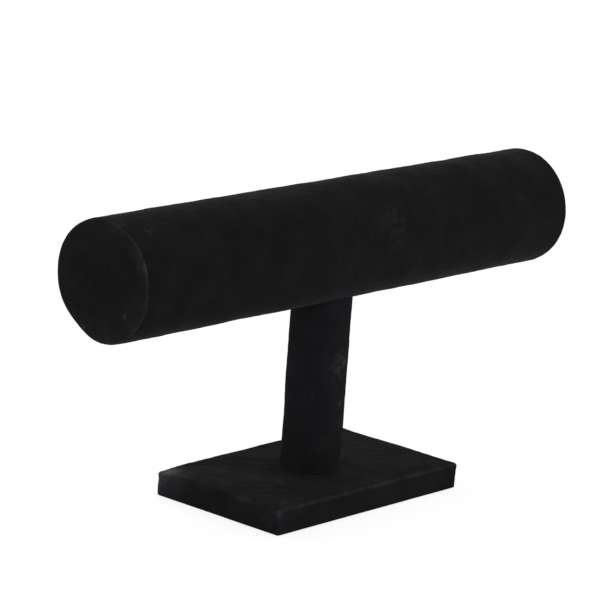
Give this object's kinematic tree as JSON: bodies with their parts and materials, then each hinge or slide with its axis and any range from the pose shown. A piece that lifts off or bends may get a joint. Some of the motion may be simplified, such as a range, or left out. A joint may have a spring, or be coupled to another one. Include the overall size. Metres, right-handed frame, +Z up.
{
  "type": "bracelet display stand",
  "caption": "Free-standing jewellery display stand: a long velvet roll held level by a round velvet post on a flat oblong base, for showing bracelets and watches.",
  "frame": {"origin": "middle of the base's underside, on the table", "axes": "+X along the roll, +Z up, +Y towards the back"},
  "size_m": [0.283, 0.074, 0.1448],
  "materials": {
    "velvet": "short black velvet pile, deep and matte, a little lighter where the pile turns over an edge",
    "lining_card": "flat black lining card",
    "fibreboard": "raw medium density fibreboard",
    "dowel_wood": "raw birch dowel",
    "plug_wood": "raw turned softwood",
    "tube_paper": "brown spiral-wound paper tube",
    "zinc_steel": "bright zinc plate"
  },
  "bodies": {
    "root": {"base_board": "fibreboard", "base_cover": "velvet", "base_liner": "lining_card", "post_core": "dowel_wood", "post_cover": "velvet", "roll_tube": "tube_paper", "roll_cover": "velvet", "roll_end_plug_left": "plug_wood", "roll_end_plug_right": "plug_wood", "roll_end_cover_left": "velvet", "roll_end_cover_right": "velvet", "roll_saddle": "plug_wood", "tee_nut": "zinc_steel", "tie_bolt": "zinc_steel"}
  },
  "joints": []
}
